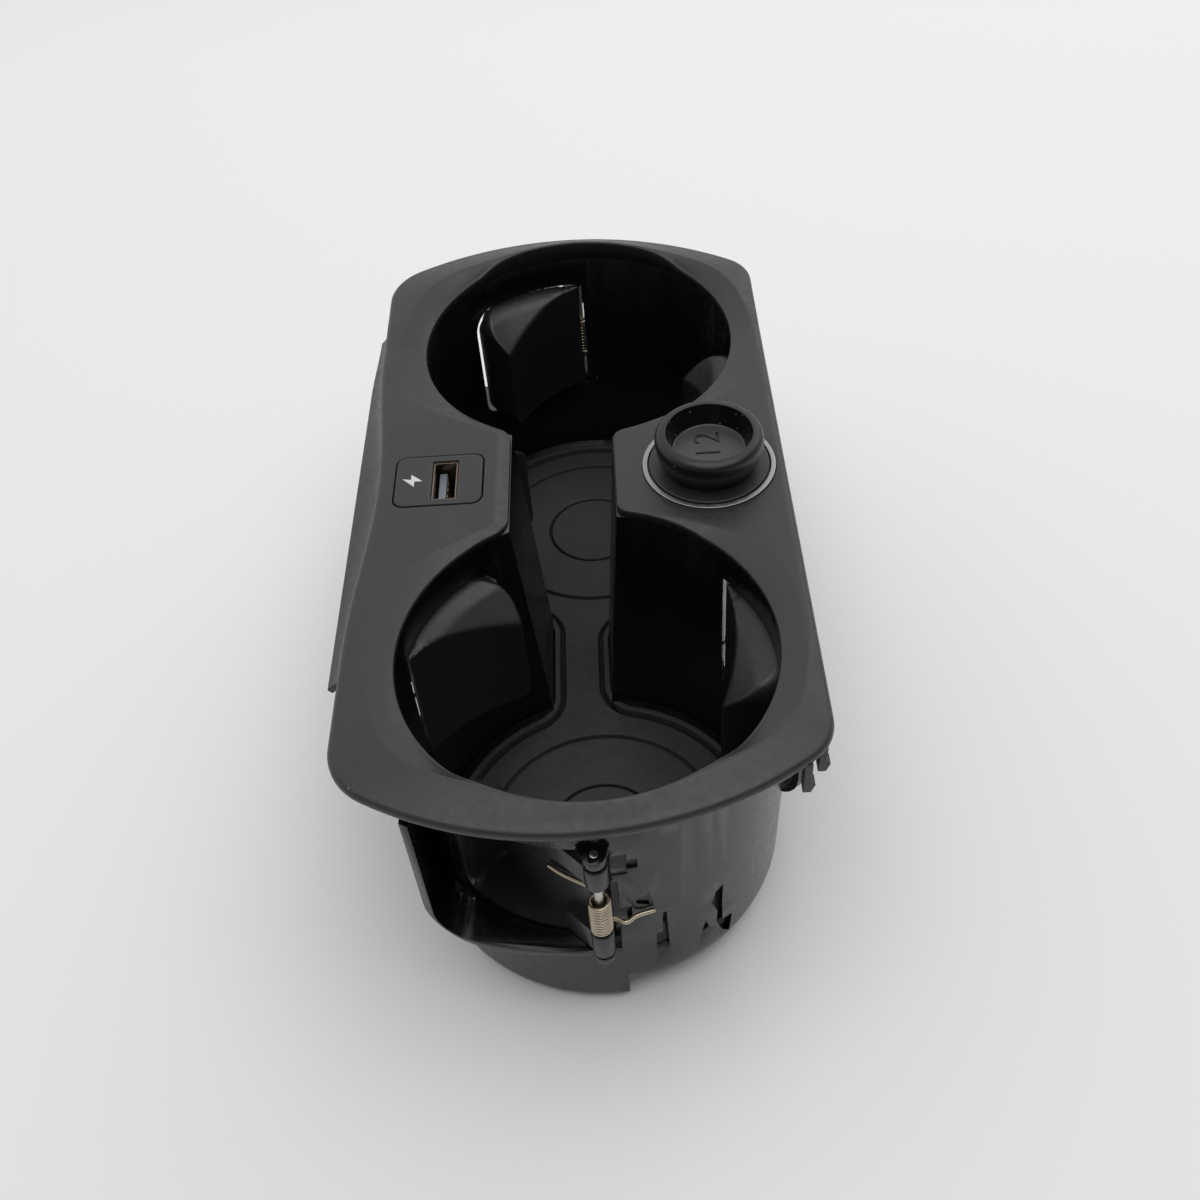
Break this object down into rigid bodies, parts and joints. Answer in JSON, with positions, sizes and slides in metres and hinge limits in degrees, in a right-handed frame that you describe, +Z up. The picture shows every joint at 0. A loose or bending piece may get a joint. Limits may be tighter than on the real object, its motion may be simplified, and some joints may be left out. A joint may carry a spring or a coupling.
{
  "type": "car console cup holder",
  "caption": "Centre console insert with twin cup wells, sprung gripping fingers, a rubber mat, a USB port and a capped power socket.",
  "frame": {"origin": "on the underside of the tub, midway between the two cup wells", "axes": "+Z up out of the wells, +Y to the rear along the row of wells, +X to the right, the side of the power socket"},
  "size_m": [0.113, 0.2192, 0.092],
  "materials": {
    "trim": "soft-touch black, fine grain",
    "housing": "moulded black",
    "finger": "satin black",
    "mat": "matt",
    "steel": "bright",
    "spring": "straw-tempered wire",
    "port_plastic": "fine grain",
    "tin": "dull tin plate",
    "port_tongue": "light plastic",
    "brass": "bright",
    "silver_ring": "satin silver",
    "cap": "semi-gloss black"
  },
  "bodies": {
    "housing": {"bezel": "trim", "tub": "housing", "mat": "mat", "bezel_screws": "steel", "pin_front_end": "steel", "spring_front_end": "spring", "pin_front_left": "steel", "spring_front_left": "spring", "pin_front_right": "steel", "spring_front_right": "spring", "pin_rear_end": "steel", "spring_rear_end": "spring", "pin_rear_left": "steel", "spring_rear_left": "spring", "pin_rear_right": "steel", "spring_rear_right": "spring", "usb_frame": "port_plastic", "usb_body": "port_plastic", "usb_shell": "tin", "usb_tongue": "port_tongue", "usb_contacts": "brass", "socket_ring": "silver_ring", "socket_body": "port_plastic", "socket_barrel": "tin", "socket_contact": "brass"},
    "cap": {"socket_cap": "cap"},
    "finger_front_end": {"finger_front_end": "finger"},
    "finger_front_left": {"finger_front_left": "finger"},
    "finger_front_right": {"finger_front_right": "finger"},
    "finger_rear_end": {"finger_rear_end": "finger"},
    "finger_rear_left": {"finger_rear_left": "finger"},
    "finger_rear_right": {"finger_rear_right": "finger"}
  },
  "joints": [
    {"name": "front_end_finger_swing", "type": "hinge", "parent": "housing", "child": "finger_front_end", "pos_m": [0, -0.107, 0.05], "axis": [0, 0, 1], "range_deg": [0, 17.5], "stiffness_Nm_per_rad": 0.03, "springref_deg": -34.38, "deforming": ["spring_front_end"]},
    {"name": "front_left_finger_swing", "type": "hinge", "parent": "housing", "child": "finger_front_left", "pos_m": [-0.04818, -0.04907, 0.05], "axis": [0, 0, 1], "range_deg": [0, 17.5], "stiffness_Nm_per_rad": 0.03, "springref_deg": -34.38, "deforming": ["spring_front_left"]},
    {"name": "front_right_finger_swing", "type": "hinge", "parent": "housing", "child": "finger_front_right", "pos_m": [0.03861, -0.02783, 0.05], "axis": [0, 0, 1], "range_deg": [0, 17.5], "stiffness_Nm_per_rad": 0.03, "springref_deg": -34.38, "deforming": ["spring_front_right"]},
    {"name": "rear_end_finger_swing", "type": "hinge", "parent": "housing", "child": "finger_rear_end", "pos_m": [0, 0.107, 0.05], "axis": [0, 0, -1], "range_deg": [0, 17.5], "stiffness_Nm_per_rad": 0.03, "springref_deg": -34.38, "deforming": ["spring_rear_end"]},
    {"name": "rear_left_finger_swing", "type": "hinge", "parent": "housing", "child": "finger_rear_left", "pos_m": [-0.04818, 0.04907, 0.05], "axis": [0, 0, -1], "range_deg": [0, 17.5], "stiffness_Nm_per_rad": 0.03, "springref_deg": -34.38, "deforming": ["spring_rear_left"]},
    {"name": "rear_right_finger_swing", "type": "hinge", "parent": "housing", "child": "finger_rear_right", "pos_m": [0.03861, 0.02783, 0.05], "axis": [0, 0, -1], "range_deg": [0, 17.5], "stiffness_Nm_per_rad": 0.03, "springref_deg": -34.38, "deforming": ["spring_rear_right"]},
    {"name": "cap_pull", "type": "slide", "parent": "housing", "child": "cap", "axis": [0, 0, 1], "range_m": [0, 0.022]}
  ]
}
